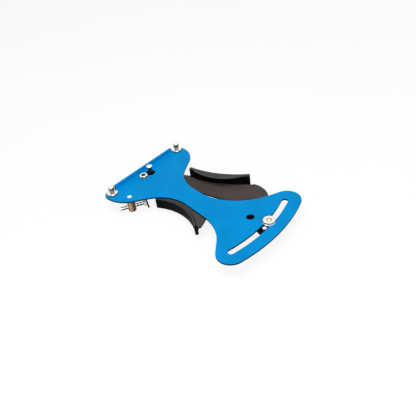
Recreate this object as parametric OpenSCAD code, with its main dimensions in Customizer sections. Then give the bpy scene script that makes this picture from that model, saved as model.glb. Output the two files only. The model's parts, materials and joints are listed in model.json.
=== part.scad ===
// Spoke tension meter, squeeze type, in millimetres.
// The tool lies on its back: +Z is the face side, +X runs from the head to the tail,
// +Y is the thumb side. The origin is the hang hole's centre on the plate's front face.
// Shapes are drawn about the lever's pivot and then moved there by from_pivot().

/* [Front plate] */
// thickness of the painted front plate
plate_t = 2.2; // [1.8:0.1:3]
// from the pivot to the tail's outer edge
tail_r = 214; // [208:1:230]
// radius of the tail's two corners
tail_corner_r = 17.5; // [14:0.5:20]
// height of the bent-up head lip above the face
lip_h = 6.4; // [4:0.2:9]

/* [Dial slot and hang hole] */
// from the pivot to the middle of the arc slot
slot_r = 195.1; // [188:0.1:198]
// width of the arc slot
slot_w = 8; // [7:0.1:9]
// half the angle between the centres of the slot's round ends
slot_half = 15.6; // [12:0.1:17]
// diameter of the hang hole
hang_d = 10; // [6:0.5:12]

/* [Posts] */
// distance between the two fixed posts
post_span = 122.8; // [112:0.2:128]
// how far the fixed posts stand in front of the pivot
post_back = 8; // [5:0.5:10]
// height of the fixed posts above the face
post_h = 11.2; // [9:0.2:14]
// distance from the pivot to the moving post
arm = 12.3; // [11.8:0.1:14]
// height of the moving post above the face
moving_h = 10.6; // [8:0.2:12]

/* [Lever and handles] */
// thickness of the lever and of the finger plate
sheet_t = 2.2; // [1.8:0.1:2.4]
// depth of a handle, measured from the face of the sheet that it is bent from
handle_h = 13.5; // [11:0.1:16]
// wall of the moulded grips
grip_t = 1.6; // [1.2:0.1:2]
// lever travel towards the closed grips, in degrees
squeeze = 15.8; // [5:0.1:15.8]
// lever travel towards the open grips, in degrees
relax = 12.8; // [5:0.1:12.8]

/* [Pivot and spring] */
// shank diameter of the pivot bolt
bolt_d = 6; // [5:0.5:6]
// wire diameter of the torsion spring
wire_d = 2.2; // [1.6:0.1:2.2]
// mean radius of the spring's coil
coil_r = 6.4; // [6.2:0.1:6.6]
// rise of the coil per turn
coil_pitch = 2.7; // [2.66:0.01:2.8]

/* [Calibration] */
// diameter of the cross barrel
barrel_d = 10; // [8:0.5:12]
// how far the barrel reaches behind the plate's face
barrel_depth = 21.8; // [21:0.1:28]
// diameter of the calibration screw
screw_d = 4.8; // [4:0.1:5]

/* [Colours] */
// painted front plate
blue = "#0a84cc";
// plated posts, nuts and screws
steel = "#c9ccce";
// bush and barrel
bronze = "#a1856a";
// dark painted lever and finger plate
dark_sheet = "#494240";
// moulded grips
grip_black = "#1d1d1f";
// spring wire
wire_black = "#242424";

/* [Hidden] */
$fn = 64;
// radial clearance of turning fits, and play between faces that pass each other
fit = 0.05;
play = 0.2;

// the hang hole, seen from the pivot
hole_x = 171;
hole_y = 7.3;
hang_r = hang_d / 2;

// the levels, downwards from the plate's face at 0
plate_back = -plate_t;
finger_back = plate_back - sheet_t;
washer_t = 0.6;
lever_top = finger_back - washer_t;
lever_back = lever_top - sheet_t;
spring_top = lever_back - washer_t;

// the tail and the slot lean a little to the thumb side of +X
tail_lean = 0.8;
tail_half = 16.2;
slot_lean = 0.4;
corner_orbit = tail_r - tail_corner_r;

// head
post_mid = arm;
post_y = [post_mid - post_span / 2, post_mid + post_span / 2];
head_corner_r = 10;
lip_x = -post_back - 2.6;
lip_bend = 1.5;
flange_r = 7.3;
lip_gap = 0.9;
lip_y0 = post_y[0] + flange_r + lip_gap;
lip_y1 = post_y[1] - flange_r - lip_gap;

// one outline circle: centre and radius, negative where the edge hollows inwards
function polar(r, a) = [r * cos(a), r * sin(a)];
function circle_at(p, r) = [p[0], p[1], r];

plate_outline = [
    [-7, post_y[0] - 0.4, head_corner_r],
    [-2.8, post_y[0] + 30, 40.7],
    [79.7, -67.7, -54.2],
    [112.7, -83.9, -63.6],
    circle_at(polar(corner_orbit, tail_lean - tail_half), tail_corner_r),
    [0, 0, tail_r],
    circle_at(polar(corner_orbit, tail_lean + tail_half), tail_corner_r),
    [99.2, 86.3, -74.2],
    [83.6, 68, -53.6],
    [-4.8, post_y[1] - 25.9, 34.4],
    [-7, post_y[1] - 1.6, head_corner_r]
];

// pivot stack
bolt_r = bolt_d / 2;
bush_r = bolt_r + 1.2;
bush_flange_r = 7.5;
sleeve_r = bolt_r + 1.3;
nut_af = 10;
nut_h = 3.2;
bolt_end_drop = 1.8;
bolt_head_h = 4;
retainer_r = 8.5;
retainer_t = 1;

// moving post
moving_r = 2.8;
moving_shank_r = 2.5;
moving_cap_r = 4.2;
moving_cap_t = 1.7;
moving_collar_r = 4.6;
moving_collar_top = plate_back - 1;
moving_tail_r = 3.6;
moving_tail_t = 0.5;
moving_xy = [0.3, arm];
travel_mid = [0.6, arm - 0.3];
window_r = 6.4;

// fixed posts
post_flange_t = 2.2;
post_neck_r = 2.9;
post_neck_h = 2.6;
post_head_r = 3.9;
post_stud_r = 2.5;
post_nut_af = 8;
post_nut_h = 4;

// pointer
pointer_angle = 3.2;
pointer_r = 7.4;
pointer_z0 = 0.4;
pointer_z1 = 4;
pointer_stem_r = 2;
pointer_sleeve_r = 3.5;
pointer_nut_af = 7;
pointer_nut_h = 3.2;
pointer_head_h = 0.5;
pointer_head_ball = 4.2;
guide_angle = 0.4;
guide_r = 2.5;
guide_shank_r = 1.8;
guide_top = plate_back + 1;

// lever outline; its hollow outer edge is cut by the thumb handle's circle
wing_corner = [136.2, 35.9, 33.1];
tongue_r = 4;
lever_outline = [
    [0, 0, 11],
    [60, -44.5, -60],
    [80, 157.5, 139],
    [121, 11, -11.5],
    circle_at(polar(slot_r + 3.9, -1.15), tongue_r),
    circle_at(polar(slot_r + 3.9, 4.05), tongue_r),
    [slot_r - 12.1, 24.7, -8],
    wing_corner,
    [49, 38.6, 2],
    circle_at(moving_xy + [-1.8, 2.2], 8.5)
];

// handles: the circle that each handle's outer wall follows, and its two ends
thumb_c = [47.9, 167.1];
thumb_r = 125.5;
thumb_a0 = -89.2;
thumb_a1 = -51.6;
thumb_moon = [74, 92.4, 57.6];
thumb_dimple = [92.3, 43];
finger_c = [76.2, -89.1];
finger_r = 69.3;
finger_a0 = 46;
finger_a1 = 114.8;
finger_moon = [81.2, -58.3, 47.1];
bend_r = 1;
bend_lap = 0.6;
rib_t = 1.2;
rib_gap = 0.3;
rib_inset = [7, 0.6];
rib_step = 0.35;
lid_t = 1.6;
lid_step = 0.15;
thumb_top = lever_top + handle_h;
finger_low = plate_back - handle_h;
finger_outline = [
    [0, 0, 7],
    [49.5, -20.5, 3],
    [128, -35, 3.2],
    [119, -15, 6],
    [60, -4, 6]
];

// torsion spring; its fixed leg lies square to the calibration screw, at the screw's depth
wire_r = wire_d / 2;
screw_a = 57.8;
leg_a = screw_a - 90;
leg_long = 48;
lever_leg_a = 16;
lever_leg_long = 26;
hook_r = wire_d;
hook_h = wire_d;
anchor_hole_r = wire_r + 0.25;
wire_sides = 6;
rings_per_turn = 8;
coil_a0 = leg_a - 90;
coil_a1 = lever_leg_a + 90;
coil_sweep = 720 + (coil_a0 - coil_a1) - 360 * floor((coil_a0 - coil_a1) / 360);
coil_rise = coil_pitch * coil_sweep / 360;
coil_top = spring_top - wire_r - 0.15;
retainer_top = coil_top - coil_rise - wire_r - 0.6;

// calibration barrel and screw; places along the screw are measured from the barrel's axis
barrel_xy = [16.3, -41.6];
barrel_r = barrel_d / 2;
screw_z = coil_top - coil_rise;
screw_r = screw_d / 2;
screw_tail = 14.7;
seat_af = 8;
seat_t = 4;
seat_groove = 0.5;
leg_s = -(barrel_xy[0] * cos(screw_a) + barrel_xy[1] * sin(screw_a)) - coil_r;
seat_s = leg_s - wire_r + seat_groove;
spigot_r = screw_r - 0.6;
spigot_long = 2.4;
rivet_head_r = 2.8;
rivet_head_h = 0.8;
rivet_shank_r = 2;
rivet_depth = 7;

// ---- outlines from tangent circles -------------------------------------

function wrap(a) = a - 360 * floor(a / 360);
function clamp(v) = min(1, max(-1, v));

// direction of the outward normal on the straight run from circle a to circle b
function run_normal(a, b) =
    let (dx = b[0] - a[0], dy = b[1] - a[1])
    atan2(dy, dx) - acos(clamp((a[2] - b[2]) / norm([dx, dy])));

// points along circle c between two run normals
function arc_points(c, n0, n1) =
    let (flip = c[2] < 0 ? 180 : 0, turn = wrap(n1 - n0))
    let (sweep = c[2] > 0 ? (turn > 300 ? 0 : turn) : turn - 360)
    let (full = c[2] < 0 && turn < 1 ? 0 : sweep)
    let (steps = max(1, ceil(abs(full) * sqrt(abs(c[2])) / 28)))
    [for (i = [0 : steps]) [c[0], c[1]] + polar(abs(c[2]), n0 + flip + full * i / steps)];

function outline(list) =
    let (n = len(list))
    let (normals = [for (i = [0 : n - 1]) run_normal(list[i], list[(i + 1) % n])])
    [for (i = [0 : n - 1])
        each arc_points(list[i], normals[(i + n - 1) % n], normals[i])];

// ---- helpers ------------------------------------------------------------

module from_pivot() {
    translate([-hole_x, -hole_y, 0]) children();
}

module sheet(list, top, thick) {
    translate([0, 0, top - thick]) linear_extrude(thick) polygon(outline(list));
}

// round bar from z0 up to z1 at p
module bar(p, r, z0, z1) {
    translate([p[0], p[1], z0]) cylinder(r = r, h = z1 - z0);
}

// hexagonal nut or bolt head, af across its flats
module hexagon(p, af, z0, z1, turn = 0) {
    translate([p[0], p[1], z0]) rotate([0, 0, turn])
        cylinder(r = af / 2 / cos(30), h = z1 - z0, $fn = 6);
}

// washer or tube
module ring(p, r_out, r_in, z0, z1) {
    difference() {
        bar(p, r_out, z0, z1);
        bar(p, r_in, z0 - 1, z1 + 1);
    }
}

// curved wall about c, from radius r over t, between two angles
module curved_wall(c, r, t, a0, a1, z0, z1) {
    translate([c[0], c[1], 0]) rotate([0, 0, a0])
        rotate_extrude(angle = a1 - a0)
            translate([r, z0]) square([t, z1 - z0]);
}

// section of a wall that is bent out of a sheet: it runs from the wall's end round the bend
// and ends inside the sheet; r is the wall's outer face, up is 1 or -1
function bend_arc(r, a0, a1, c) = [for (i = [0 : 5]) c + polar(r, a0 + (a1 - a0) * i / 5)];
function bend_section(r, face, up, wall_end) =
    let (c = [r + sheet_t + bend_r, face + up * (sheet_t + bend_r)])
    concat(
        [[r, wall_end]],
        bend_arc(sheet_t + bend_r, 180, 180 + up * 78, c),
        [[c[0] + bend_lap, face + up * 0.4], [c[0] + bend_lap, face + up * (sheet_t - 0.3)]],
        bend_arc(bend_r, 180 + up * 66, 180, c),
        [[r + sheet_t, wall_end]]
    );

// crescent that the moon circle leaves on the inner side of the handle's circle
module crescent(c, r, moon, z0, z1) {
    difference() {
        bar(moon, moon[2], z0, z1);
        bar(c, r, z0 - 1, z1 + 1);
    }
}

// ---- frame --------------------------------------------------------------

module arc_slot() {
    for (side = [-1, 1])
        bar(polar(slot_r, slot_lean + side * slot_half), slot_w / 2, plate_back - 1, 1);
    translate([0, 0, plate_back - 1]) rotate([0, 0, slot_lean - slot_half])
        rotate_extrude(angle = 2 * slot_half)
            translate([slot_r - slot_w / 2, 0]) square([slot_w, plate_t + 2]);
}

module head_lip() {
    bend_out = lip_bend + plate_t;
    bend_x = lip_x + lip_bend;
    long = lip_y1 - lip_y0;
    translate([bend_x, lip_y1, lip_bend]) rotate([90, 0, 0]) linear_extrude(long)
        difference() {
            circle(r = bend_out);
            circle(r = lip_bend);
            translate([0, -bend_out - 1]) square(2 * bend_out + 2);
            translate([-bend_out - 1, 0]) square(2 * bend_out + 2);
        }
    translate([lip_x - plate_t, lip_y0, lip_bend])
        cube([plate_t, long, lip_h - lip_bend]);
}

module front_plate() {
    color(blue) from_pivot() {
        difference() {
            sheet(plate_outline, 0, plate_t);
            translate([-30, lip_y0 - lip_gap, plate_back - 1])
                cube([30 + lip_x + lip_bend, lip_y1 - lip_y0 + 2 * lip_gap, plate_t + 2]);
            bar([0, 0], bolt_r + fit, plate_back - 1, 1);
            bar(travel_mid, window_r, plate_back - 1, 1);
            bar([hole_x, hole_y], hang_r, plate_back - 1, 1);
            bar(barrel_xy, rivet_shank_r + fit, plate_back - 1, 1);
            for (y = post_y) bar([-post_back, y], post_stud_r, plate_back - 1, 1);
            arc_slot();
        }
        head_lip();
    }
}

module fixed_post(y) {
    neck_top = post_flange_t + post_neck_h;
    color(steel) from_pivot() translate([-post_back, y, 0]) rotate_extrude()
        polygon([
            [0, plate_back - post_nut_h - 1], [post_stud_r, plate_back - post_nut_h - 1],
            [post_stud_r, 0], [flange_r, 0], [flange_r, post_flange_t - 0.4],
            [flange_r - 0.4, post_flange_t], [post_neck_r, post_flange_t],
            [post_neck_r, neck_top], [post_head_r, neck_top + 0.8],
            [post_head_r, post_h - 0.8], [post_head_r - 0.8, post_h], [0, post_h]
        ]);
}

module fixed_post_finger() {
    fixed_post(post_y[0]);
}

module fixed_post_thumb() {
    fixed_post(post_y[1]);
}

module post_nuts() {
    color(steel) from_pivot() for (y = post_y) difference() {
        hexagon([-post_back, y], post_nut_af, plate_back - post_nut_h, plate_back, 12);
        bar([-post_back, y], post_stud_r, plate_back - post_nut_h - 1, 1);
    }
}

// the bolt's end sits well below the nut's top, so the nut shows a dark middle
module pivot_bolt() {
    head_top = retainer_top - retainer_t;
    color(steel) from_pivot() {
        bar([0, 0], bolt_r, head_top, nut_h - bolt_end_drop);
        hexagon([0, 0], nut_af, head_top - bolt_head_h, head_top);
    }
}

module pivot_nut() {
    color(steel) from_pivot() difference() {
        intersection() {
            hexagon([0, 0], nut_af, 0, nut_h, 30);
            translate([0, 0, nut_h - 4.35]) cylinder(r1 = nut_af * 0.9, r2 = nut_af * 0.5, h = 4.35);
        }
        bar([0, 0], bolt_r, -1, nut_h + 1);
    }
}

// flanged bush that the lever turns on; its flange keeps the lever off the finger plate
module pivot_bush() {
    color(bronze) from_pivot() {
        ring([0, 0], bush_flange_r, bolt_r, finger_back - washer_t + play, finger_back);
        ring([0, 0], bush_r, bolt_r, lever_back - play, finger_back - washer_t + play);
    }
}

module lever_washer() {
    color(steel) from_pivot()
        ring([0, 0], retainer_r, bolt_r, spring_top, lever_back - play);
}

module spring_sleeve() {
    color(steel) from_pivot() ring([0, 0], sleeve_r, bolt_r, retainer_top, spring_top);
}

module spring_retainer() {
    color(steel) from_pivot()
        ring([0, 0], retainer_r, bolt_r, retainer_top - retainer_t, retainer_top);
}

// ---- handles ------------------------------------------------------------

// sheet that is bent over into a curved wall; the wall goes up, or down for up = -1;
// trim0 and trim1 carry the sheet's cut-off edge past the wall's two ends
module bent_sheet(list, top, c, r, a0, a1, up, wall_end, trim0, trim1) {
    wall_r = r + grip_t;
    edge_r = wall_r + sheet_t + bend_r - 0.45;
    reach = 40;
    difference() {
        sheet(list, top, sheet_t);
        curved_wall(c, edge_r - reach, reach, a0 - trim0, a1 + trim1,
            top - sheet_t - 1, top + 1);
    }
    translate([c[0], c[1], 0]) rotate([0, 0, a0]) rotate_extrude(angle = a1 - a0)
        polygon(bend_section(wall_r, up > 0 ? top - sheet_t : top, up, wall_end));
}

// moulded cover of a handle: outer wall with a lid over the sheet's edge, a crescent that
// widens the lid inwards, and an inner wall that hides the sheet's wall down to its bend
module grip(c, r, moon, a0, a1, z_open, z_lid, up) {
    lid_in = z_lid - up * lid_t;
    rib_ends = [z_open + up * (sheet_t + bend_r + rib_gap), z_lid - up * rib_step];
    moon_ends = [lid_in + up * lid_step, z_lid - up * lid_step];
    inset = rib_inset / r * 180 / PI;
    cover = grip_t + sheet_t + rib_t / 3;
    translate([c[0], c[1], 0]) rotate([0, 0, a0]) rotate_extrude(angle = a1 - a0) polygon([
        [r, z_open], [r + grip_t, z_open], [r + grip_t, lid_in],
        [r + cover, lid_in], [r + cover, z_lid], [r, z_lid]
    ]);
    crescent(c, r + grip_t / 2, moon, min(moon_ends), max(moon_ends));
    curved_wall(c, r + grip_t + sheet_t, rib_t, a0 + inset[0], a1 - inset[1],
        min(rib_ends), max(rib_ends));
}

module finger_plate() {
    color(dark_sheet) from_pivot() difference() {
        bent_sheet(finger_outline, plate_back, finger_c, finger_r, finger_a0, finger_a1,
            -1, finger_low + lid_t, 12, 0);
        bar([0, 0], bolt_r + fit, finger_back - 1, 0);
    }
}

module finger_grip() {
    color(grip_black) from_pivot()
        grip(finger_c, finger_r, finger_moon, finger_a0, finger_a1, plate_back, finger_low, -1);
}

module thumb_grip() {
    color(grip_black) from_pivot() difference() {
        grip(thumb_c, thumb_r, thumb_moon, thumb_a0, thumb_a1, lever_back, thumb_top, 1);
        bar(thumb_dimple, 1.1, thumb_top - 0.6, thumb_top + 1);
    }
}

// ---- lever --------------------------------------------------------------

function hook_xy() = polar(coil_r, coil_a1) + polar(lever_leg_long, lever_leg_a);

module lever_plate() {
    low = lever_back - 1;
    high = lever_top + 1;
    color(dark_sheet) from_pivot() difference() {
        bent_sheet(lever_outline, lever_top, thumb_c, thumb_r, thumb_a0, thumb_a1,
            1, thumb_top - lid_t, 0, 3);
        bar([0, 0], bush_r + fit, low, high);
        bar(moving_xy, moving_shank_r, low, high);
        bar(hook_xy(), anchor_hole_r, low, high);
        bar(polar(slot_r, pointer_angle), pointer_stem_r, low, high);
        bar(polar(slot_r, guide_angle), guide_shank_r, low, high);
    }
}

module moving_post() {
    cap_low = moving_h - moving_cap_t;
    color(steel) from_pivot() translate([moving_xy[0], moving_xy[1], 0]) rotate_extrude()
        polygon([
            [0, lever_back - moving_tail_t], [moving_tail_r, lever_back - moving_tail_t],
            [moving_tail_r, lever_back], [moving_shank_r, lever_back],
            [moving_shank_r, lever_top], [moving_collar_r, lever_top],
            [moving_collar_r, moving_collar_top], [moving_r, moving_collar_top],
            [moving_r, cap_low], [moving_cap_r, cap_low],
            [moving_cap_r, moving_h - 0.5], [moving_cap_r - 0.5, moving_h], [0, moving_h]
        ]);
}

module pointer_disc() {
    p = polar(slot_r, pointer_angle);
    color(steel) from_pivot() translate([p[0], p[1], 0]) rotate_extrude()
        polygon([
            [pointer_stem_r, pointer_z0], [pointer_r, pointer_z0], [pointer_r, pointer_z1 - 0.3],
            [pointer_r - 0.3, pointer_z1], [pointer_stem_r, pointer_z1]
        ]);
}

// pin through the disc, with a low round head that shows in the disc's middle
module pointer_pin() {
    p = polar(slot_r, pointer_angle);
    color(steel) from_pivot() {
        bar(p, pointer_stem_r, lever_back - pointer_nut_h - 0.8, pointer_z1);
        translate([p[0], p[1], pointer_z1]) rotate_extrude() intersection() {
            translate([0, pointer_head_h - pointer_head_ball]) circle(r = pointer_head_ball);
            square([pointer_stem_r, pointer_head_h]);
        }
    }
}

module pointer_spacer() {
    color(bronze) from_pivot()
        ring(polar(slot_r, pointer_angle), pointer_sleeve_r, pointer_stem_r, lever_top, pointer_z0);
}

module pointer_nut() {
    p = polar(slot_r, pointer_angle);
    color(steel) from_pivot() difference() {
        hexagon(p, pointer_nut_af, lever_back - pointer_nut_h, lever_back);
        bar(p, pointer_stem_r, lever_back - pointer_nut_h - 1, lever_back + 1);
    }
}

module guide_pin() {
    p = polar(slot_r, guide_angle);
    color(steel) from_pivot() {
        bar(p, guide_r, lever_top, guide_top);
        bar(p, guide_shank_r, lever_back, lever_top);
        bar(p, guide_r, lever_back - 0.8, lever_back);
    }
}

// ---- calibration --------------------------------------------------------

// places its children on the screw's axis, with +X along it and 0 at the barrel
module on_screw() {
    translate([barrel_xy[0], barrel_xy[1], screw_z]) rotate([0, 0, screw_a]) children();
}

// round bar along the screw's axis, from s0 to s1
module screw_bar(r, s0, s1) {
    on_screw() translate([s0, 0, 0]) rotate([0, 90, 0]) cylinder(r = r, h = s1 - s0);
}

module calibration_barrel() {
    edge = 0.6;
    color(bronze) from_pivot() difference() {
        translate([barrel_xy[0], barrel_xy[1], 0]) rotate_extrude() polygon([
            [0, -barrel_depth], [barrel_r - edge, -barrel_depth], [barrel_r, edge - barrel_depth],
            [barrel_r, plate_back - edge], [barrel_r - edge, plate_back], [0, plate_back]
        ]);
        bar(barrel_xy, rivet_shank_r, plate_back - rivet_depth, plate_back + 1);
        screw_bar(screw_r + fit, -barrel_r - 1, barrel_r + 1);
    }
}

module barrel_rivet() {
    ball = (pow(rivet_head_r, 2) + pow(rivet_head_h, 2)) / (2 * rivet_head_h);
    color(steel) from_pivot() {
        bar(barrel_xy, rivet_shank_r, plate_back - rivet_depth, 0);
        translate([barrel_xy[0], barrel_xy[1], 0]) rotate_extrude() intersection() {
            translate([0, rivet_head_h - ball]) circle(r = ball);
            square([rivet_head_r, rivet_head_h]);
        }
    }
}

// threaded rod with a screwdriver slot in its outer end and a plain spigot at the seat
module calibration_screw() {
    shoulder = seat_s - seat_t;
    color(steel) from_pivot() {
        difference() {
            screw_bar(screw_r, -screw_tail, shoulder);
            on_screw() translate([-screw_tail - 1, -screw_r - 1, -0.4])
                cube([1.9, screw_d + 2, 0.8]);
        }
        screw_bar(spigot_r, shoulder, shoulder + spigot_long);
    }
}

// six-sided seat, grooved across its end for the spring's fixed leg
module spring_seat() {
    shoulder = seat_s - seat_t;
    color(steel) from_pivot() difference() {
        on_screw() translate([shoulder, 0, 0]) rotate([0, 90, 0])
            cylinder(r = seat_af / 2 / cos(30), h = seat_t, $fn = 6);
        screw_bar(spigot_r + fit, shoulder - 1, shoulder + spigot_long + fit);
        on_screw() translate([leg_s, seat_af, 0]) rotate([90, 0, 0])
            cylinder(r = wire_r + 0.1, h = 2 * seat_af);
    }
}

// ---- torsion spring -----------------------------------------------------

coil_steps = round(rings_per_turn * coil_sweep / 360);
leg_start = concat(polar(coil_r, coil_a0) + polar(leg_long, leg_a), [screw_z]);
hook_steps = 4;

function lever_leg(s, up) =
    let (p = polar(coil_r, coil_a1) + polar(s, lever_leg_a)) [p[0], p[1], coil_top + up];

// the wire's middle line, as [point, heading]
wire_line = concat(
    [[leg_start, coil_a0 - 90]],
    [for (i = [0 : coil_steps])
        let (a = coil_a0 - coil_sweep * i / coil_steps)
        [concat(polar(coil_r, a), [screw_z + coil_rise * i / coil_steps]), a - 90]],
    [for (i = [0 : hook_steps])
        let (a = 90 * i / hook_steps)
        [lever_leg(lever_leg_long - hook_r * (1 - sin(a)), hook_r * (1 - cos(a))), lever_leg_a]],
    [[lever_leg(lever_leg_long, hook_r + hook_h), lever_leg_a]]
);

function unit(v) = v / norm(v);
function line_dir(i) = let (last = len(wire_line) - 1)
    unit(wire_line[min(last, i + 1)][0] - wire_line[max(0, i - 1)][0]);
function wire_ring(i) =
    let (h = wire_line[i][1], side = [sin(h), -cos(h), 0])
    let (t = i == 0 ? unit(wire_line[1][0] - wire_line[0][0]) : line_dir(i))
    let (rise = unit(cross(side, t)), across = cross(t, rise))
    [for (k = [0 : wire_sides - 1])
        wire_line[i][0] + wire_r * (cos(60 * k + 30) * across + sin(60 * k + 30) * rise)];

// the middle line again at a step of about a millimetre, to measure the turns' distance
fine_line = [for (i = [0 : len(wire_line) - 2])
    let (a = wire_line[i][0], b = wire_line[i + 1][0], n = max(1, round(norm(b - a))))
    each [for (k = [0 : n - 1]) a + (b - a) * k / n]];
far_apart = 9;
wire_gap = min([for (i = [0 : len(fine_line) - 1])
    each [for (j = [i + far_apart : 1 : len(fine_line) - 1]) norm(fine_line[i] - fine_line[j])]])
    - wire_d;
echo("spring: least gap between its turns, mm", wire_gap);

module torsion_spring() {
    n = len(wire_line);
    m = wire_sides;
    points = [for (i = [0 : n - 1]) each wire_ring(i)];
    sides = [for (i = [0 : n - 2], k = [0 : m - 1])
        [i * m + k, i * m + (k + 1) % m, (i + 1) * m + (k + 1) % m, (i + 1) * m + k]];
    start = [for (k = [m - 1 : -1 : 0]) k];
    finish = [for (k = [0 : m - 1]) (n - 1) * m + k];
    color(wire_black) from_pivot() polyhedron(points, concat(sides, [start, finish]));
}

// ---- nodes --------------------------------------------------------------

front_plate();
fixed_post_finger();
fixed_post_thumb();
post_nuts();
finger_plate();
finger_grip();
pivot_bolt();
pivot_nut();
pivot_bush();
lever_washer();
spring_sleeve();
spring_retainer();
torsion_spring();
calibration_barrel();
barrel_rivet();
calibration_screw();
spring_seat();
lever_plate();
thumb_grip();
moving_post();
pointer_disc();
pointer_pin();
pointer_spacer();
pointer_nut();
guide_pin();
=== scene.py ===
# %% [markdown]
# # A spoke tension meter
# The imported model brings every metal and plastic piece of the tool, in metres, with the
# hang hole's centre at the origin. This lesson gives each piece its finish, rounds the
# edges that a press or a mould would round, cuts the screw's thread, winds the spring and
# lights the scene.

# %% Load the frame
import math

import bpy
from mathutils import Matrix, Vector
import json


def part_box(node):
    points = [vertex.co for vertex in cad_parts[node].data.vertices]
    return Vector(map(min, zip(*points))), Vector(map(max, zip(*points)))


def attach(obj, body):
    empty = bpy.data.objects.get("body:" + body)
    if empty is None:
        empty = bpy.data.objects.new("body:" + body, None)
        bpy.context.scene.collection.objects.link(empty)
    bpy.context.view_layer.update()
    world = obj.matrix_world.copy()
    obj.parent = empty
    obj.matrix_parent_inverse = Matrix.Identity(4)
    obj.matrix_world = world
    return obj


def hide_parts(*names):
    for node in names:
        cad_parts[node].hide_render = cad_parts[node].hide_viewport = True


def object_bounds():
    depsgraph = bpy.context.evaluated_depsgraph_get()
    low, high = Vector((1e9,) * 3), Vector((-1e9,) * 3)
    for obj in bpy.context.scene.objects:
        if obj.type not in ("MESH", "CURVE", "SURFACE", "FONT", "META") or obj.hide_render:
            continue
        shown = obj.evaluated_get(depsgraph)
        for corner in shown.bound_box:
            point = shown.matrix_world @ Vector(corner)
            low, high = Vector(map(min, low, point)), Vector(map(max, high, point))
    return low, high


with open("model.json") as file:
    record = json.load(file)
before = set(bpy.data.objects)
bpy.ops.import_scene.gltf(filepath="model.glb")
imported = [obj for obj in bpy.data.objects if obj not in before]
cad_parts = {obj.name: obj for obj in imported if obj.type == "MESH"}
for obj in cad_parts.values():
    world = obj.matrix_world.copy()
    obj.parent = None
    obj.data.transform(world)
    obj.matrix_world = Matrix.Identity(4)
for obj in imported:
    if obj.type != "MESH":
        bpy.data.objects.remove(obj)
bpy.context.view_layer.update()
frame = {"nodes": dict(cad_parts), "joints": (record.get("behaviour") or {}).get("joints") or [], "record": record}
MM = 0.001

# %% [markdown]
# ## The axes of the tool
# The lever turns on an upright bolt, and the calibration screw slides and turns on a slanted
# line. Both could be typed in again as numbers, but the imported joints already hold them, so
# they are read from there and stay right when the model changes.

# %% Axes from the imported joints
JOINTS = {joint["name"]: joint for joint in frame["joints"]}
PIVOT_X, PIVOT_Y, _ = JOINTS["lever_pivot"]["pos_m"]
PIVOT = Vector((PIVOT_X, PIVOT_Y, 0.0))
SCREW_PLACE = Vector(JOINTS["seat_slide"]["pos_m"])
SCREW_AXIS = Vector(JOINTS["seat_slide"]["axis"]).normalized()
SCREW_TURN = math.atan2(SCREW_AXIS.y, SCREW_AXIS.x)
print("pivot:", PIVOT / MM, "screw:", SCREW_PLACE / MM, round(math.degrees(SCREW_TURN), 2))

# %% [markdown]
# ## The camera
# The tool is seen from between its tail and its finger side, from about 37 degrees above
# the painted face, with a small roll. The three directions below are the camera's right,
# down and forward in the tool's own frame. They are put into the camera's matrix as
# columns, which is more exact than turning it by angles.

# %% Camera
RIGHT = Vector((0.76086, 0.63954, -0.10986))
DOWN = Vector((0.3272, -0.52431, -0.78615))
FORWARD = Vector((-0.56038, 0.56221, -0.60819))
EYE = Vector((283.12, -350.64, 364.91)) * MM
SENSOR = 36.0
FOCAL_PIXELS = 500.0
PICTURE_PIXELS = 416.0


def add_camera():
    data = bpy.data.cameras.new("camera")
    data.sensor_width = SENSOR
    data.lens = SENSOR * FOCAL_PIXELS / PICTURE_PIXELS
    data.clip_start = 0.01
    data.clip_end = 20.0
    camera = bpy.data.objects.new("camera", data)
    bpy.context.scene.collection.objects.link(camera)
    turn = Matrix((RIGHT, -DOWN, -FORWARD)).transposed()
    camera.matrix_world = Matrix.Translation(EYE) @ turn.to_4x4()
    bpy.context.scene.camera = camera
    return camera


camera = add_camera()
print("lens:", round(camera.data.lens, 2), "mm")

# %% [markdown]
# ## Writing a finish as a sum
# A finish is easier to read as arithmetic than as a web of nodes. `Shade` wraps one socket:
# adding or multiplying two of them adds a Math node. Every other node comes from one
# method, `node`, which takes its settings first and then the values or links of its inputs.


# %% Shader expressions
class Shade:
    """One output socket, with arithmetic that adds Math nodes."""

    def __init__(self, nodes, socket):
        self.nodes = nodes
        self.socket = socket

    def math(self, operation, *others):
        values = dict(enumerate((self, *others)))
        return self.nodes.node("ShaderNodeMath", {"operation": operation}, values)

    def __add__(self, other):
        return self.math("ADD", other)

    def __sub__(self, other):
        return self.math("SUBTRACT", other)

    def __rsub__(self, other):
        return self.nodes.node("ShaderNodeMath", {"operation": "SUBTRACT"}, {0: other, 1: self})

    def __mul__(self, other):
        return self.math("MULTIPLY", other)

    def __neg__(self):
        return self * -1.0

    __radd__ = __add__
    __rmul__ = __mul__

    def between(self, low, high):
        """0 below low, 1 above high, and a smooth step from one to the other."""
        return self.nodes.node(
            "ShaderNodeMapRange", {"interpolation_type": "SMOOTHSTEP"},
            {"Value": self, "From Min": low, "From Max": high},
        )


class Nodes:
    """The node tree of a material or of the world."""

    def __init__(self, owner):
        owner.use_nodes = True
        self.owner = owner
        self.tree = owner.node_tree
        self.tree.nodes.clear()

    def node(self, kind, settings=None, inputs=None, output=0):
        made = self.tree.nodes.new(kind)
        for key, value in (settings or {}).items():
            setattr(made, key, value)
        for key, value in (inputs or {}).items():
            if isinstance(value, Shade):
                self.tree.links.new(value.socket, made.inputs[key])
            else:
                made.inputs[key].default_value = value
        return Shade(self, made.outputs[output])

    def show(self, kind, surface):
        """Joins the surface to an output node and returns the material or world."""
        made = self.tree.nodes.new(kind)
        self.tree.links.new(surface.socket, made.inputs["Surface"])
        return self.owner


# %% [markdown]
# A material needs more words than the world: where a point lies on the tool, which way its
# face looks, noise of a given grain, and the mixing of colours. Places are read as Object
# coordinates. Every piece's origin is the tool's, so they are the tool's own metres.


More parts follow.
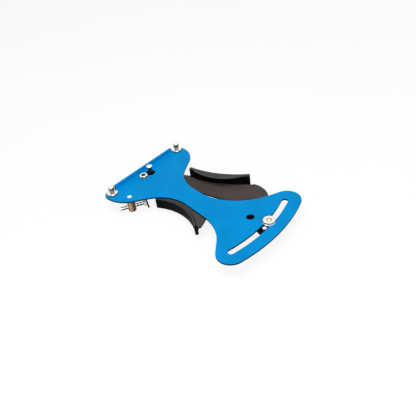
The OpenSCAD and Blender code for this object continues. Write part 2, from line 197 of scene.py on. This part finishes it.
# %% Words for one finish
class Recipe(Nodes):
    def __init__(self, name):
        super().__init__(bpy.data.materials.new(name))
        self.place = self.node("ShaderNodeTexCoord", output="Object")
        self.normal = self.node("ShaderNodeTexCoord", output="Normal")
        self.level = self.part(self.normal, 2).math("ABSOLUTE")

    def part(self, vector, axis):
        return self.node("ShaderNodeSeparateXYZ", None, {0: vector}, output=axis)

    def along(self, vector, direction):
        """How far a vector goes in a direction."""
        return self.node(
            "ShaderNodeVectorMath", {"operation": "DOT_PRODUCT"},
            {0: vector, 1: direction}, output="Value",
        )

    def height(self):
        return self.part(self.place, 2)

    def from_axis(self, middle):
        """Distance from the upright line through a place."""
        across = self.part(self.place, 0) - middle.x
        along = self.part(self.place, 1) - middle.y
        return (across * across + along * along).math("SQRT")

    def noise(self, scale, detail=2.0, stretch=(1.0, 1.0, 1.0), rough=0.5):
        place = self.node("ShaderNodeMapping", None, {"Vector": self.place, "Scale": stretch})
        return self.node(
            "ShaderNodeTexNoise", None,
            {"Vector": place, "Scale": scale, "Detail": detail, "Roughness": rough},
        )

    def blend(self, amount, first, second):
        return self.node(
            "ShaderNodeMix", {"data_type": "RGBA"}, {0: amount, 6: first, 7: second}, output=2
        )

    def bump(self, height, strength, distance):
        return self.node(
            "ShaderNodeBump", None,
            {"Height": height, "Strength": strength, "Distance": distance},
        )

    def finish(self, **sockets):
        names = {key.replace("_", " "): value for key, value in sockets.items()}
        surface = self.node("ShaderNodeBsdfPrincipled", None, names)
        return self.show("ShaderNodeOutputMaterial", surface)


def linear(red, green, blue):
    """A colour given as 0 to 255 on the screen, as the shader's own linear colour."""
    def channel(value):
        value /= 255.0
        return value / 12.92 if value <= 0.04045 else ((value + 0.055) / 1.055) ** 2.4
    return (channel(red), channel(green), channel(blue), 1.0)


def times(colour, factor):
    return [factor * value for value in colour[:3]] + [1.0]


print("blue in linear light:", [round(v, 3) for v in linear(0, 136, 203)])

# %% [markdown]
# ## The plate's paint
# The front plate is powder coated: one even blue with a faint orange peel and a soft gloss.
# A picture of paint could be wrapped round it, but noise needs no unwrapping and has no
# seams. Two scales of it shift the colour by a few percent, as dust and use do, and a finer
# one gives the peel through a bump. The sheet's cut edges read as dark navy lines, which are
# painted shade: a mask finds the upright faces below the plate's front face and the two ends
# of the bent-up lip, and colours them dark navy.

# %% Blue powder coat
SIDE_TO_TOP = (0.3, 0.8)
LIP_END_TURN = (0.7, 0.95)
BELOW_FACE = (0.0, 0.2 * MM)
ABOVE_FACE = (0.2 * MM, 0.6 * MM)


def blue_paint():
    paint = Recipe("blue_powder_coat")
    deep, light = linear(0, 128, 191), linear(0, 136, 203)
    dust, navy_edge_shade = linear(0, 106, 166), linear(2, 42, 68)
    cloud = paint.noise(scale=28.0, detail=3.0)
    speck = paint.noise(scale=900.0)
    peel = paint.noise(scale=520.0, detail=1.0)
    tone = paint.blend(cloud.between(0.3, 0.7), deep, light)
    tone = paint.blend(speck.between(0.66, 0.8) * 0.2, tone, dust)
    # The cut edges below the front face and the lip's two ends get painted shade, a dark navy.
    upright = 1.0 - paint.level.between(*SIDE_TO_TOP)
    below = (-paint.height()).between(*BELOW_FACE)
    lip_end = paint.part(paint.normal, 1).math("ABSOLUTE").between(*LIP_END_TURN)
    above = paint.height().between(*ABOVE_FACE)
    edge = (upright * below).math("MAXIMUM", lip_end * above)
    return paint.finish(
        Base_Color=paint.blend(edge, tone, navy_edge_shade),
        Roughness=cloud * 0.12 + 0.42,
        Normal=paint.bump(peel, strength=0.1, distance=0.2 * MM),
        Specular_IOR_Level=0.04,
    )


# %% [markdown]
# ## Dark sheet steel
# The lever and the finger plate are steel sheet under a thin, warm, almost black paint. It
# scatters light more widely than the blue coat, and long faint streaks follow the rolling
# direction of the sheet: a noise that is stretched along the tool gives them. The cut edges
# are painted darker still, as shade, and the two places that the front plate's hole and slot
# show get a painted shadow of the plate. A painted picture could mark them, but their
# distance from an upright line does it with no unwrapping.

# %% Dark sheet
SEEN_IN_HOLE = Vector((-4.4, 4.9, 0.0)) * MM
HOLE_FADE = (5.5 * MM, 10.0 * MM)
SLOT_FADE = (176.0 * MM, 179.0 * MM)


def dark_sheet():
    coat = Recipe("dark_sheet_paint")
    deep, light = linear(62, 56, 53), linear(72, 65, 62)
    dust, sheet_edge_shade, plate_shadow = linear(92, 85, 80), linear(7, 6, 6), linear(16, 13, 12)
    streak = coat.noise(scale=60.0, detail=3.0, stretch=(0.5, 6.0, 1.0))
    grain = coat.noise(scale=1400.0)
    tone = coat.blend(streak.between(0.25, 0.75), deep, light)
    tone = coat.blend(grain.between(0.6, 0.8) * 0.2, tone, dust)
    # Painted shade darkens the upright cut edges.
    tone = coat.blend(coat.level.between(*SIDE_TO_TOP), sheet_edge_shade, tone)
    # A painted shadow of the front plate lies where its hole and slot show the lever.
    under_hole = 1.0 - coat.from_axis(SEEN_IN_HOLE).between(*HOLE_FADE)
    under_slot = coat.from_axis(PIVOT).between(*SLOT_FADE)
    covered = under_hole.math("MAXIMUM", under_slot)
    return coat.finish(
        Base_Color=coat.blend(covered, tone, plate_shadow),
        Roughness=streak * 0.15 + 0.46,
        Normal=coat.bump(grain, strength=0.1, distance=0.1 * MM),
        Specular_IOR_Level=0.1,
    )


# %% [markdown]
# ## Moulded grips
# The grips are black nylon from a mould with a fine spark texture. Their flat tops are
# coloured a cool dark grey, a painted sheen of the light from above, and their upright walls
# close to black, which is painted shade. One material can give both, because the face's own
# normal tells a top from a wall.

# %% Grip plastic
WALL_TO_TOP = (0.75, 0.98)


def grip_plastic():
    nylon = Recipe("black_grip_nylon")
    texture = nylon.noise(scale=1100.0, detail=3.0, rough=0.6)
    wear = nylon.noise(scale=45.0, detail=3.0)
    # Painted shade makes the walls near black, and a painted sheen makes the tops grey.
    wall = nylon.blend(wear.between(0.35, 0.75), linear(4, 3, 3), linear(12, 9, 9))
    top = nylon.blend(wear.between(0.3, 0.7), linear(60, 61, 61), linear(72, 73, 73))
    top = nylon.blend(texture.between(0.55, 0.75) * 0.25, top, linear(46, 46, 46))
    return nylon.finish(
        Base_Color=nylon.blend(nylon.level.between(*WALL_TO_TOP), wall, top),
        Roughness=wear * 0.14 + 0.5,
        Normal=nylon.bump(texture, strength=0.18, distance=0.15 * MM),
        Specular_IOR_Level=0.04,
    )


# %% [markdown]
# ## Plated steel
# Posts, nuts and screws are zinc plated. Plating is bright but not a mirror: a fine satin
# grain spreads the reflections. The upright sides get a colour of their own, mostly darker
# and browner than the tops: painted shade and a painted reflection of darker surroundings,
# with upright streaks that are painted reflection bands. The barrel's plating and the bush's
# sintered bronze differ mostly in colour, so one function makes them all, from the colour of
# the tops and the colour of the sides. `shade` may name a place of painted shade that is
# darker than the rest.


# %% Zinc plate and its warmer kin
def plated(
    name, bright, side, rough, metal=0.85, gloss=0.5,
    shade=None, dark=(38, 24, 16), steep=(0.35, 0.9),
):
    plate = Recipe(name)
    patch = plate.noise(scale=190.0, detail=3.0)
    grain = plate.noise(scale=2600.0, stretch=(1.0, 1.0, 0.25))
    streak = plate.noise(scale=420.0, stretch=(1.0, 1.0, 0.03))
    tone = plate.blend(patch.between(0.5, 0.78) * 0.6, bright, times(bright, 0.72))
    # The sides' colour and its upright streaks are painted shade and painted reflection bands.
    wall = plate.blend(streak.between(0.38, 0.62), side, times(side, 1.7))
    tone = plate.blend(plate.level.between(*steep), wall, tone)
    if shade:
        tone = plate.blend(shade(plate), tone, linear(*dark))
    return plate.finish(
        Base_Color=tone,
        Metallic=metal,
        Roughness=patch * 0.16 + grain * 0.08 + rough,
        Normal=plate.bump(grain, strength=0.08, distance=0.06 * MM),
        Specular_IOR_Level=gloss,
    )


# %% [markdown]
# ## Darker places on the plating
# Small turned pieces get painted shade and painted reflections in their own colour: shade
# inside the pivot nut and on the foot of the moving post down in its hole, a reflection line
# round the disc's rim and shade in a ring round its pin, shade on the two sides of the barrel
# that leaves a painted highlight between them, and two lines of shade along the calibration
# screw. A piece's own colour holds them, so that they stay where they are under any light.
# The screw's lines need a direction that is square to the screw and to the line of sight,
# which a cross product gives.

# %% Places in the nut, on the post and on the disc
NUT_BORE_EDGE = (2.9 * MM, 3.3 * MM)
NUT_FOOT = (-0.5 * MM, 0.0)
POST_FOOT = (-1.6 * MM, -0.2 * MM)
DISC_RIM_HEIGHT = (2.7 * MM, 2.9 * MM)
DISC_RIM_EDGE = (6.8 * MM, 7.1 * MM)
PIN_RING_INNER = (1.8 * MM, 2.0 * MM)
PIN_RING_OUTER = (2.8 * MM, 3.3 * MM)


def middle_of(node_name):
    low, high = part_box(node_name)
    return (low + high) / 2


# Painted shade inside the nut, round the bolt's end.
def nut_middle(zinc):
    inside = 1.0 - zinc.from_axis(PIVOT).between(*NUT_BORE_EDGE)
    return inside * zinc.height().between(*NUT_FOOT)


# Painted shade on the post's foot, down in its hole.
def post_foot(zinc):
    return 1.0 - zinc.height().between(*POST_FOOT)


# A painted reflection line round the disc's rim, and painted shade in a ring round its pin.
def disc_lines(zinc):
    out = zinc.from_axis(middle_of("pointer_disc"))
    rim = zinc.height().between(*DISC_RIM_HEIGHT) * out.between(*DISC_RIM_EDGE)
    round_pin = out.between(*PIN_RING_INNER) * (1.0 - out.between(*PIN_RING_OUTER))
    return rim.math("MAXIMUM", round_pin)


print("disc's middle:", middle_of("pointer_disc") / MM)

# %% Places on the screw and on the barrel
SCREW_UPPER_LINE = (1.0 * MM, 1.2 * MM)
SCREW_LOWER_LINE = (0.5 * MM, 0.8 * MM)
SQUARE_TO_SIGHT = SCREW_AXIS.cross(FORWARD).normalized()
BARREL_LEFT_TURN = (0.45, 0.6)
BARREL_RIGHT_TURN = (0.05, 0.6)


def screw_lines(zinc):
    """Two lines of painted shade along the screw, one each side of its middle as the camera sees it."""
    offset = zinc.along(zinc.place, SQUARE_TO_SIGHT) - SQUARE_TO_SIGHT.dot(SCREW_PLACE)
    upper = offset.between(*SCREW_UPPER_LINE)
    return upper.math("MAXIMUM", (-offset).between(*SCREW_LOWER_LINE))


def barrel_sides(bronze):
    """Painted shade on both sides of the wall leaves a painted highlight left of the camera's sight."""
    turn = bronze.along(bronze.normal, Vector((RIGHT.x, RIGHT.y, 0.0)))
    left = (-turn).between(*BARREL_LEFT_TURN)
    return left.math("MAXIMUM", turn.between(*BARREL_RIGHT_TURN))


print("square to the screw and the sight:", SQUARE_TO_SIGHT)

# %% [markdown]
# ## Spring wire
# The torsion spring is hard-drawn wire, blackened in oil. A low metallic share keeps it dark,
# and an uneven film of oil makes some stretches a little paler and duller.


# %% Oiled wire
def spring_wire():
    wire = Recipe("oiled_spring_wire")
    film = wire.noise(scale=240.0, detail=3.0)
    grain = wire.noise(scale=1800.0)
    return wire.finish(
        Base_Color=wire.blend(film.between(0.35, 0.7), linear(12, 11, 11), linear(30, 27, 25)),
        Metallic=0.4,
        Roughness=film * 0.2 + 0.32,
        Normal=wire.bump(grain, strength=0.08, distance=0.05 * MM),
    )


# %% [markdown]
# ## The list of finishes
# Each imported piece names a slot of the record, and the slot picks the finish, so a new piece
# gets the right one without a list of its own. A few small pieces have a plating of their
# own, and several of these carry painted shade and painted reflections. They have a second
# list, by node name.

# %% Finishes by slot and by node
WHITE = linear(244, 242, 238)
BROWN = linear(118, 100, 82)
MATERIALS = {
    "painted_plate": blue_paint(),
    "dark_sheet": dark_sheet(),
    "grip_plastic": grip_plastic(),
    "plated_steel": plated("zinc_plate", WHITE, BROWN, rough=0.16),
    "bronze_plating": plated(
        "bronze_plate", linear(206, 178, 142), linear(150, 122, 90), rough=0.26, metal=0.6,
        shade=barrel_sides, dark=(84, 58, 34),
    ),
    "bronze_bush": plated(
        "bush_bronze", linear(190, 150, 92), linear(140, 104, 62), rough=0.3
    ),
    "spring_wire": spring_wire(),
}
SPECIAL = {
    "pivot_nut": plated(
        "zinc_nut", WHITE, linear(120, 100, 84), rough=0.25, metal=0.35,
        shade=nut_middle, dark=(60, 44, 26), steep=(0.1, 0.5),
    ),
    # The post's teal sides are a painted reflection of the blue plate, its dark foot painted shade.
    "moving_post": plated(
        "zinc_post", WHITE, linear(40, 60, 66), rough=0.16,
        shade=post_foot, dark=(10, 8, 8),
    ),
    "calibration_screw": plated(
        "zinc_screw", WHITE, WHITE, rough=0.35, metal=0.1, gloss=0.05,
        shade=screw_lines, dark=(60, 34, 18),
    ),
    "spring_seat": plated("zinc_seat", WHITE, linear(214, 196, 184), rough=0.25, metal=0.4),
    "pointer_disc": plated(
        "zinc_disc", linear(238, 226, 214), linear(236, 240, 244), rough=0.3, metal=0.4,
        shade=disc_lines, dark=(84, 66, 50),
    ),
    # The pin's dark side is painted shade.
    "guide_pin": plated("zinc_pin", WHITE, linear(70, 62, 56), rough=0.3, metal=0.5),
    "barrel_rivet": plated("zinc_rivet", WHITE, WHITE, rough=0.3, metal=0.4),
}
SPECIAL["pivot_bolt"] = SPECIAL["pivot_nut"]
print("finishes:", len(MATERIALS) + len(set(SPECIAL.values())))

# %% Give every node its finish
SLOT_OF = {entry["node"]: entry["material_slot"] for entry in frame["record"]["subparts"]}


def dress(piece, node_name):
    piece.data.materials.clear()
    piece.data.materials.append(SPECIAL.get(node_name) or MATERIALS[SLOT_OF[node_name]])
    for face in piece.data.polygons:
        face.material_index = 0


for name, node in frame["nodes"].items():
    dress(node, name)
print("dressed:", len(frame["nodes"]))

# %% [markdown]
# ## Rounding pressed and moulded edges
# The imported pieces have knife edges, and no press or mould leaves those. Drawing the pieces
# again would lose their exact holes, so each is copied, its facets are merged back into
# whole faces, and a narrow bevel takes the edges off. It cuts outer edges and fills inner
# corners by a fraction of a millimetre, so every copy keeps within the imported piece's box.

# %% Working on one piece at a time
BODY_OF = {
    member: body
    for body, members in frame["record"]["behaviour"]["bodies"].items()
    for member in members
}


def select_only(piece):
    bpy.ops.object.select_all(action="DESELECT")
    piece.select_set(True)
    bpy.context.view_layer.objects.active = piece


def edit(piece):
    select_only(piece)
    bpy.ops.object.mode_set(mode="EDIT")
    bpy.ops.mesh.select_all(action="SELECT")


def leave_edit():
    bpy.ops.object.mode_set(mode="OBJECT")


def smooth(piece, degrees):
    select_only(piece)
    bpy.ops.object.shade_smooth_by_angle(angle=math.radians(degrees))


def stand_in(piece, node_name):
    dress(piece, node_name)
    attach(piece, BODY_OF[node_name])
    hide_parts(node_name)


print("bodies:", sorted(set(BODY_OF.values())))

# %% Softened copies
WELD = 0.002 * MM
FLAT_DEGREES = 0.3
EDGE_DEGREES = 40.0
SMOOTH_DEGREES = 26.0
SOFT_EDGES = {
    "front_plate": 0.25, "lever_plate": 0.25, "finger_plate": 0.25,
    "finger_grip": 0.35, "thumb_grip": 0.35,
    "fixed_post_finger": 0.25, "fixed_post_thumb": 0.25, "moving_post": 0.25,
    "pointer_disc": 0.3, "pivot_nut": 0.25, "post_nuts": 0.25, "pointer_nut": 0.25,
    "spring_seat": 0.3, "calibration_barrel": 0.3,
}


def soften(node_name, width):
    mesh = frame["nodes"][node_name].data.copy()
    piece = bpy.data.objects.new(node_name + "_soft", mesh)
    bpy.context.scene.collection.objects.link(piece)
    edit(piece)
    bpy.ops.mesh.remove_doubles(threshold=WELD)
    bpy.ops.mesh.dissolve_limited(angle_limit=math.radians(FLAT_DEGREES))
    leave_edit()
    rounding = piece.modifiers.new("rounding", "BEVEL")
    rounding.width = width
    rounding.segments = 2
    rounding.limit_method = "ANGLE"
    rounding.angle_limit = math.radians(EDGE_DEGREES)
    bpy.ops.object.modifier_apply(modifier=rounding.name)
    smooth(piece, SMOOTH_DEGREES)
    stand_in(piece, node_name)
    return piece


for node_name, width in SOFT_EDGES.items():
    piece = soften(node_name, width * MM)
    print(node_name, "faces:", len(piece.data.polygons))

# %% [markdown]
# ## The calibration screw's thread
# A machine screw's thread is a profile of one pitch, swept round the axis while it moves
# along by that pitch. A bump on a smooth rod would leave the outline straight, so the
# profile is drawn as five corners, the Screw modifier winds it, and two flat cuts trim the
# run-outs. The screw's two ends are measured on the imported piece.

# %% Screw sizes
PITCH = 0.8 * MM
THREAD_R = 2.4 * MM
THREAD_ROOT = 1.93 * MM
CREST_END = 0.1 * MM
ROOT_START = 0.42 * MM
ROOT_END = 0.48 * MM
THREAD_SIDES = 20
THREAD_WELD = 0.004 * MM
SPIGOT_R = 1.8 * MM
SPIGOT_LONG = 2.4 * MM
SPIGOT_LAP = 0.1 * MM
DRIVER_SLOT = (2.0 * MM, 8.0 * MM, 0.8 * MM)
DRIVER_SLOT_OUT = 0.1 * MM


def reach(node_name, start, direction):
    """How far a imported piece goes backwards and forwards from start."""
    corners = frame["nodes"][node_name].data.vertices
    places = [(corner.co - start).dot(direction) for corner in corners]
    return min(places), max(places)


SCREW_TAIL, SPIGOT_END = reach("calibration_screw", SCREW_PLACE, SCREW_AXIS)
SHOULDER = SPIGOT_END - SPIGOT_LONG
print("screw from", round(SCREW_TAIL / MM, 3), "to", round(SPIGOT_END / MM, 3), "mm")


# %% Wind the thread
def wind_thread(name, start, stop):
    profile = (
        (0.0, THREAD_R), (CREST_END, THREAD_R), (ROOT_START, THREAD_ROOT),
        (ROOT_END, THREAD_ROOT), (PITCH, THREAD_R),
    )
    first = start - 2 * PITCH
    points = [(first + along, 0.0, radius) for along, radius in profile]
    mesh = bpy.data.meshes.new(name)
    mesh.from_pydata(points, [(i, i + 1) for i in range(len(points) - 1)], [])
    piece = bpy.data.objects.new(name, mesh)
    bpy.context.scene.collection.objects.link(piece)
    select_only(piece)
    winding = piece.modifiers.new("winding", "SCREW")
    winding.axis = "X"
    winding.screw_offset = PITCH
    winding.iterations = math.ceil((stop - start) / PITCH) + 4
    winding.steps = winding.render_steps = THREAD_SIDES
    bpy.ops.object.modifier_apply(modifier=winding.name)
    edit(piece)
    bpy.ops.mesh.remove_doubles(threshold=THREAD_WELD)
    for place, outward in ((start, -1.0), (stop, 1.0)):
        bpy.ops.mesh.select_all(action="SELECT")
        bpy.ops.mesh.bisect(
            plane_co=(place, 0.0, 0.0), plane_no=(outward, 0.0, 0.0),
            use_fill=True, clear_outer=True,
        )
    bpy.ops.mesh.select_all(action="SELECT")
    bpy.ops.mesh.normals_make_consistent(inside=False)
    leave_edit()
    return piece


# %% [markdown]
# ## Slot, spigot and place of the screw
# A thin box cuts the screwdriver slot out of the tail, and a plain rod, the spigot, carries
# the seat. The screw is built along X about its own middle, which keeps every cut simple,
# and is turned and moved to its place at the end.


# %% Calibration screw
def cut_driver_slot(screw):
    bpy.ops.object.select_all(action="DESELECT")
    middle = (SCREW_TAIL - DRIVER_SLOT_OUT, 0.0, 0.0)
    bpy.ops.mesh.primitive_cube_add(size=1.0, location=middle)
    cutter = bpy.context.object
    cutter.scale = DRIVER_SLOT
    bpy.ops.object.transform_apply(location=True, rotation=True, scale=True)
    select_only(screw)
    cut = screw.modifiers.new("slot", "BOOLEAN")
    cut.operation = "DIFFERENCE"
    cut.solver = "EXACT"
    cut.object = cutter
    bpy.ops.object.modifier_apply(modifier=cut.name)
    bpy.data.objects.remove(cutter)


def add_rod(radius, start, stop):
    bpy.ops.object.select_all(action="DESELECT")
    bpy.ops.mesh.primitive_cylinder_add(
        vertices=32, radius=radius, depth=stop - start,
        location=((start + stop) / 2, 0.0, 0.0), rotation=(0.0, math.pi / 2, 0.0),
    )
    rod = bpy.context.object
    bpy.ops.object.transform_apply(location=True, rotation=True, scale=True)
    return rod


def add_screw():
    screw = wind_thread("calibration_screw_thread", SCREW_TAIL, SHOULDER)
    cut_driver_slot(screw)
    spigot = add_rod(SPIGOT_R, SHOULDER - SPIGOT_LAP, SPIGOT_END)
    select_only(screw)
    spigot.select_set(True)
    bpy.ops.object.join()
    screw.rotation_euler = (0.0, 0.0, SCREW_TURN)
    screw.location = SCREW_PLACE
    bpy.ops.object.transform_apply(location=True, rotation=True, scale=True)
    smooth(screw, 30.0)
    stand_in(screw, "calibration_screw")
    return screw


screw = add_screw()
print("screw faces:", len(screw.data.polygons))

# %% [markdown]
# ## The torsion spring
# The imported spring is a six-sided tube. Here the same middle line, a straight leg, 2.4
# turns and a hooked leg, carries a round wire: a curve with a round bevel, turned into a
# mesh. The straight leg lies square to the screw, at the screw's own depth.

# %% Spring sizes
WIRE_R = 1.1 * MM
COIL_R = 6.4 * MM
COIL_PITCH = 2.7 * MM
COIL_STEPS = 96
LEG_TURN = SCREW_TURN - math.pi / 2
LEG_LONG = 48.0 * MM
HOOK_TURN = math.radians(16.0)
HOOK_LONG = 26.0 * MM
HOOK_BEND = 2.2 * MM
HOOK_HIGH = 4.4 * MM
BEND_STEPS = 8


def polar(radius, angle, height=0.0):
    return Vector((radius * math.cos(angle), radius * math.sin(angle), height))


def spring_line():
    """The middle of the wire: straight leg, coil, and the other leg with its bent-up hook."""
    leg_root = LEG_TURN - math.pi / 2
    hook_root = HOOK_TURN + math.pi / 2
    sweep = 4 * math.pi + (leg_root - hook_root) % (2 * math.pi)
    low = SCREW_PLACE.z
    rise = COIL_PITCH * sweep / (2 * math.pi)
    line = [polar(COIL_R, leg_root, low) + polar(LEG_LONG, LEG_TURN)]
    for step in range(COIL_STEPS + 1):
        share = step / COIL_STEPS
        line.append(polar(COIL_R, leg_root - sweep * share, low + rise * share))
    root = polar(COIL_R, hook_root, low + rise)
    for step in range(BEND_STEPS + 1):
        angle = math.pi / 2 * step / BEND_STEPS
        out = HOOK_LONG - HOOK_BEND * (1 - math.sin(angle))
        line.append(root + polar(out, HOOK_TURN, HOOK_BEND * (1 - math.cos(angle))))
    line.append(root + polar(HOOK_LONG, HOOK_TURN, HOOK_HIGH))
    return [point + PIVOT for point in line]


print("points on the wire:", len(spring_line()))


# %% Bend the wire along the line
def add_spring():
    curve = bpy.data.curves.new("spring_line", "CURVE")
    curve.dimensions = "3D"
    curve.bevel_depth = WIRE_R
    curve.bevel_resolution = 4
    curve.use_fill_caps = True
    line = spring_line()
    spline = curve.splines.new("POLY")
    spline.points.add(len(line) - 1)
    for point, place in zip(spline.points, line):
        point.co = (*place, 1.0)
    spring = bpy.data.objects.new("spring_wire", curve)
    bpy.context.scene.collection.objects.link(spring)
    select_only(spring)
    bpy.ops.object.convert(target="MESH")
    spring = bpy.context.object
    smooth(spring, 40.0)
    stand_in(spring, "torsion_spring")
    return spring


spring = add_spring()
print("spring faces:", len(spring.data.polygons))

# %% [markdown]
# ## The floor
# A pale floor lies under the deepest piece. The ground of the picture is pure white, and a
# stronger lamp would bleach the tool with it. Instead the floor shows the camera mostly its
# own plain white, and a small share of real floor that keeps the shadow.

# %% Floor
FLOOR_GAP = 0.2 * MM
FLOOR_SIDE = 12.0
FLOOR_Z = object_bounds()[0][2] - FLOOR_GAP
PLAIN_WHITE = (1.0, 1.0, 1.0, 1.0)
WHITE_SEEN = 0.87
WHITE_MIRRORED = 0.5


def floor_finish():
    ground = Recipe("studio_floor")
    grey, paler = (0.86, 0.86, 0.86, 1.0), (0.9, 0.9, 0.9, 1.0)
    mottle = ground.noise(scale=3.0)
    tone = ground.blend(mottle.between(0.3, 0.7), grey, paler)
    matt = ground.node("ShaderNodeBsdfDiffuse", None, {"Color": tone})
    white = ground.node("ShaderNodeEmission", None, {"Color": PLAIN_WHITE, "Strength": 1.0})
    seen = ground.node("ShaderNodeLightPath", output="Is Camera Ray")
    mirrored = ground.node("ShaderNodeLightPath", output="Is Glossy Ray")
    share = seen * WHITE_SEEN + mirrored * WHITE_MIRRORED
    mixed = ground.node("ShaderNodeMixShader", None, {0: share, 1: matt, 2: white})
    return ground.show("ShaderNodeOutputMaterial", mixed)


def add_floor():
    bpy.ops.object.select_all(action="DESELECT")
    bpy.ops.mesh.primitive_plane_add(size=FLOOR_SIDE, location=(0.0, 0.0, FLOOR_Z))
    floor = bpy.context.object
    floor.name = "studio_floor"
    floor.data.materials.append(floor_finish())


add_floor()
print("floor at", round(FLOOR_Z / MM, 2), "mm")

# %% [markdown]
# ## The light
# A large soft lamp hangs high above the tool, and a second one stands beyond the tail on the
# finger side, so that upright walls there are not black. Their power is low enough that a
# colour renders about as it is written. The sky is dim as a light, but white to the camera
# and in reflections, which gives the plating something bright to show.

# %% Lamps and sky
AIM = Vector((-0.06, 0.0, 0.0))
SKY_LIGHT = 0.42


def add_lamp(name, place, size, power):
    data = bpy.data.lights.new(name, "AREA")
    data.shape = "DISK"
    data.size = size
    data.energy = power
    lamp = bpy.data.objects.new(name, data)
    bpy.context.scene.collection.objects.link(lamp)
    lamp.rotation_euler = (AIM - Vector(place)).to_track_quat("-Z", "Y").to_euler()
    lamp.location = place


def add_sky():
    world = bpy.data.worlds.new("white_sky")
    bpy.context.scene.world = world
    sky = Nodes(world)
    pale = {"Color": PLAIN_WHITE, "Strength": SKY_LIGHT}
    white = {"Color": PLAIN_WHITE, "Strength": 1.0}
    lit = sky.node("ShaderNodeBackground", None, pale)
    shown = sky.node("ShaderNodeBackground", None, white)
    seen = sky.node("ShaderNodeLightPath", output="Is Camera Ray")
    mirrored = sky.node("ShaderNodeLightPath", output="Is Glossy Ray")
    either = seen.math("MAXIMUM", mirrored)
    mixed = sky.node("ShaderNodeMixShader", None, {0: either, 1: lit, 2: shown})
    sky.show("ShaderNodeOutputWorld", mixed)


add_lamp("key_lamp", place=(0.1, -0.25, 1.2), size=0.9, power=11.0)
add_lamp("fill_lamp", place=(1.4, -1.0, 0.9), size=1.2, power=13.0)
add_sky()
bpy.context.scene.view_settings.view_transform = "Standard"

# %% [markdown]
# ## The end
# The last cell only imports json once more.

# %% Import json again
import json
